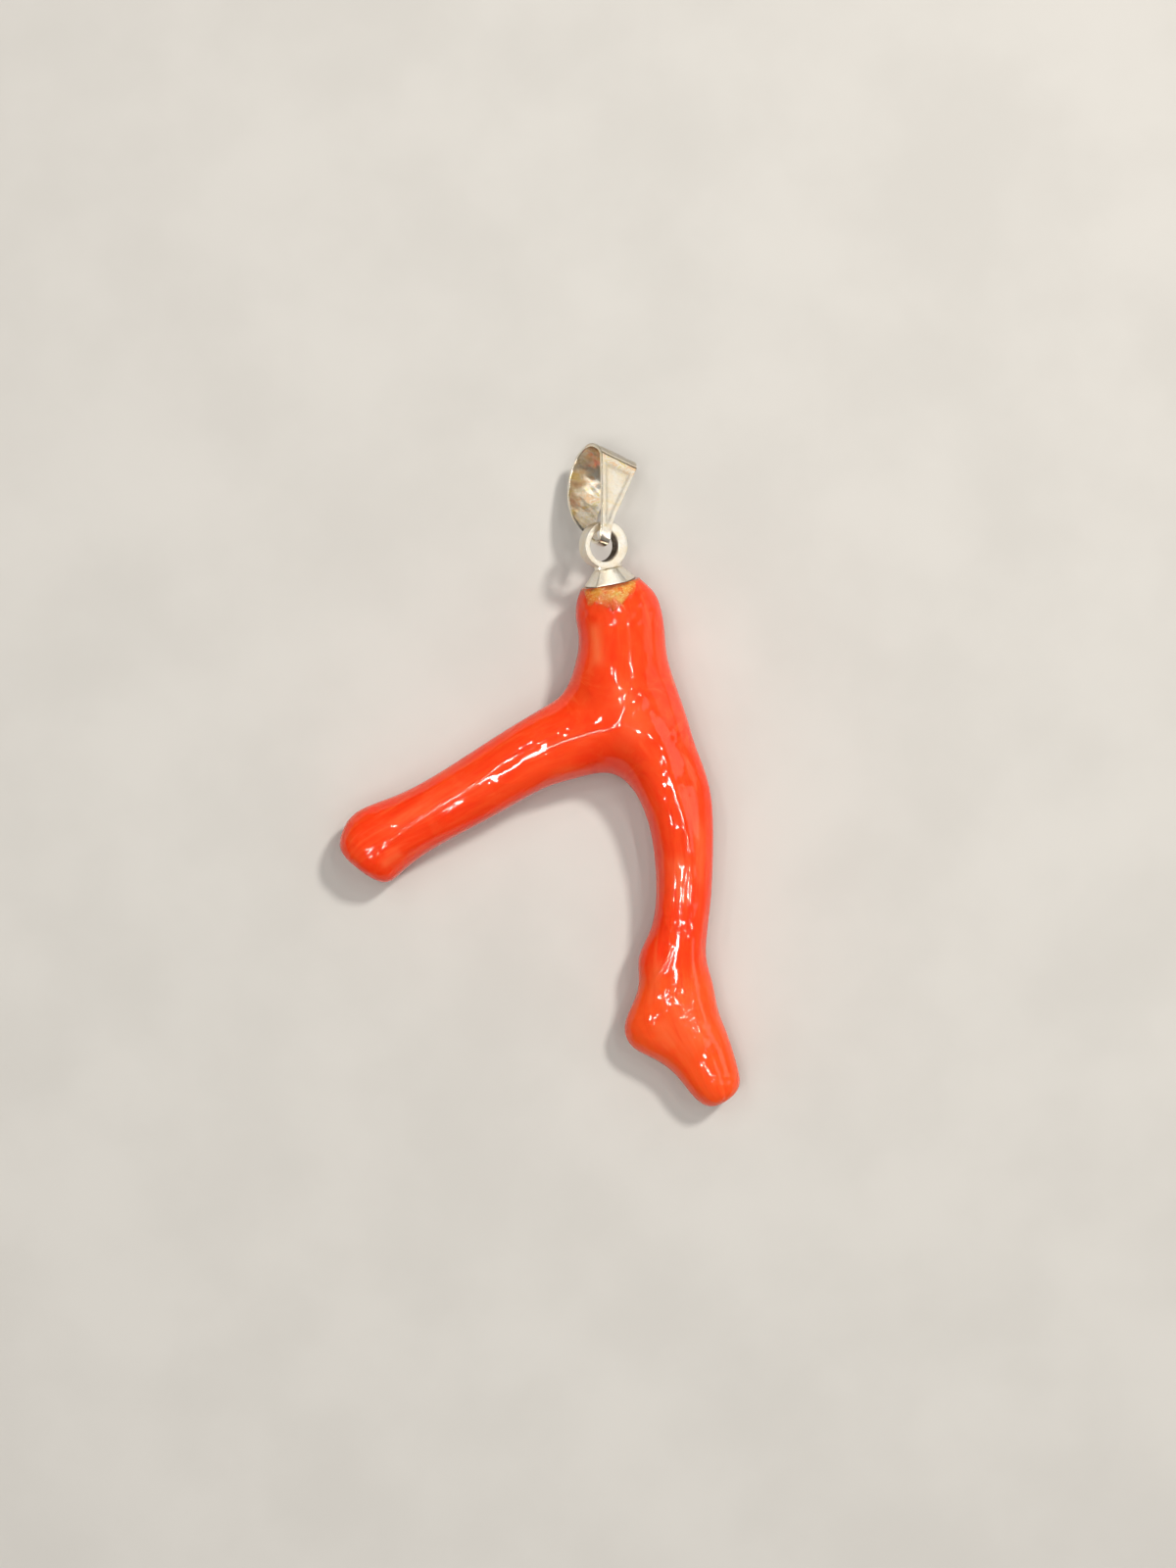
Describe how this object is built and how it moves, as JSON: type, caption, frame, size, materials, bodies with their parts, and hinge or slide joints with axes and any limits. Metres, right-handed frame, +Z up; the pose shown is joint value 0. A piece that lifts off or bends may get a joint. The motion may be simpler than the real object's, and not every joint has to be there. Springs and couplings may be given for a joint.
{
  "type": "red coral branch pendant",
  "caption": "Polished red coral branch, forked, one end shaped like a foot, with a glued silver cap and a folded silver bail that swings in the cap's eye.",
  "frame": {"origin": "on the table that the pendant lies on, under the middle of its outline", "axes": "+Y along the table from the foot-shaped end to the bail, +X to the right seen from above with the bail at the far end, +Z up off the table"},
  "size_m": [0.039, 0.0646, 0.0084],
  "materials": {
    "coral": "gloss",
    "silver": "polished"
  },
  "bodies": {
    "pendant": {"coral_stem": "coral", "coral_left_branch": "coral", "coral_right_branch": "coral", "cap": "silver"},
    "bail": {"bail": "silver"}
  },
  "joints": [
    {"name": "bail_swing", "type": "hinge", "parent": "pendant", "child": "bail", "pos_m": [0.00549, 0.02407, 0.0058], "axis": [0.8623, 0.3335, -0.3811], "range_deg": [-55, 45]}
  ]
}
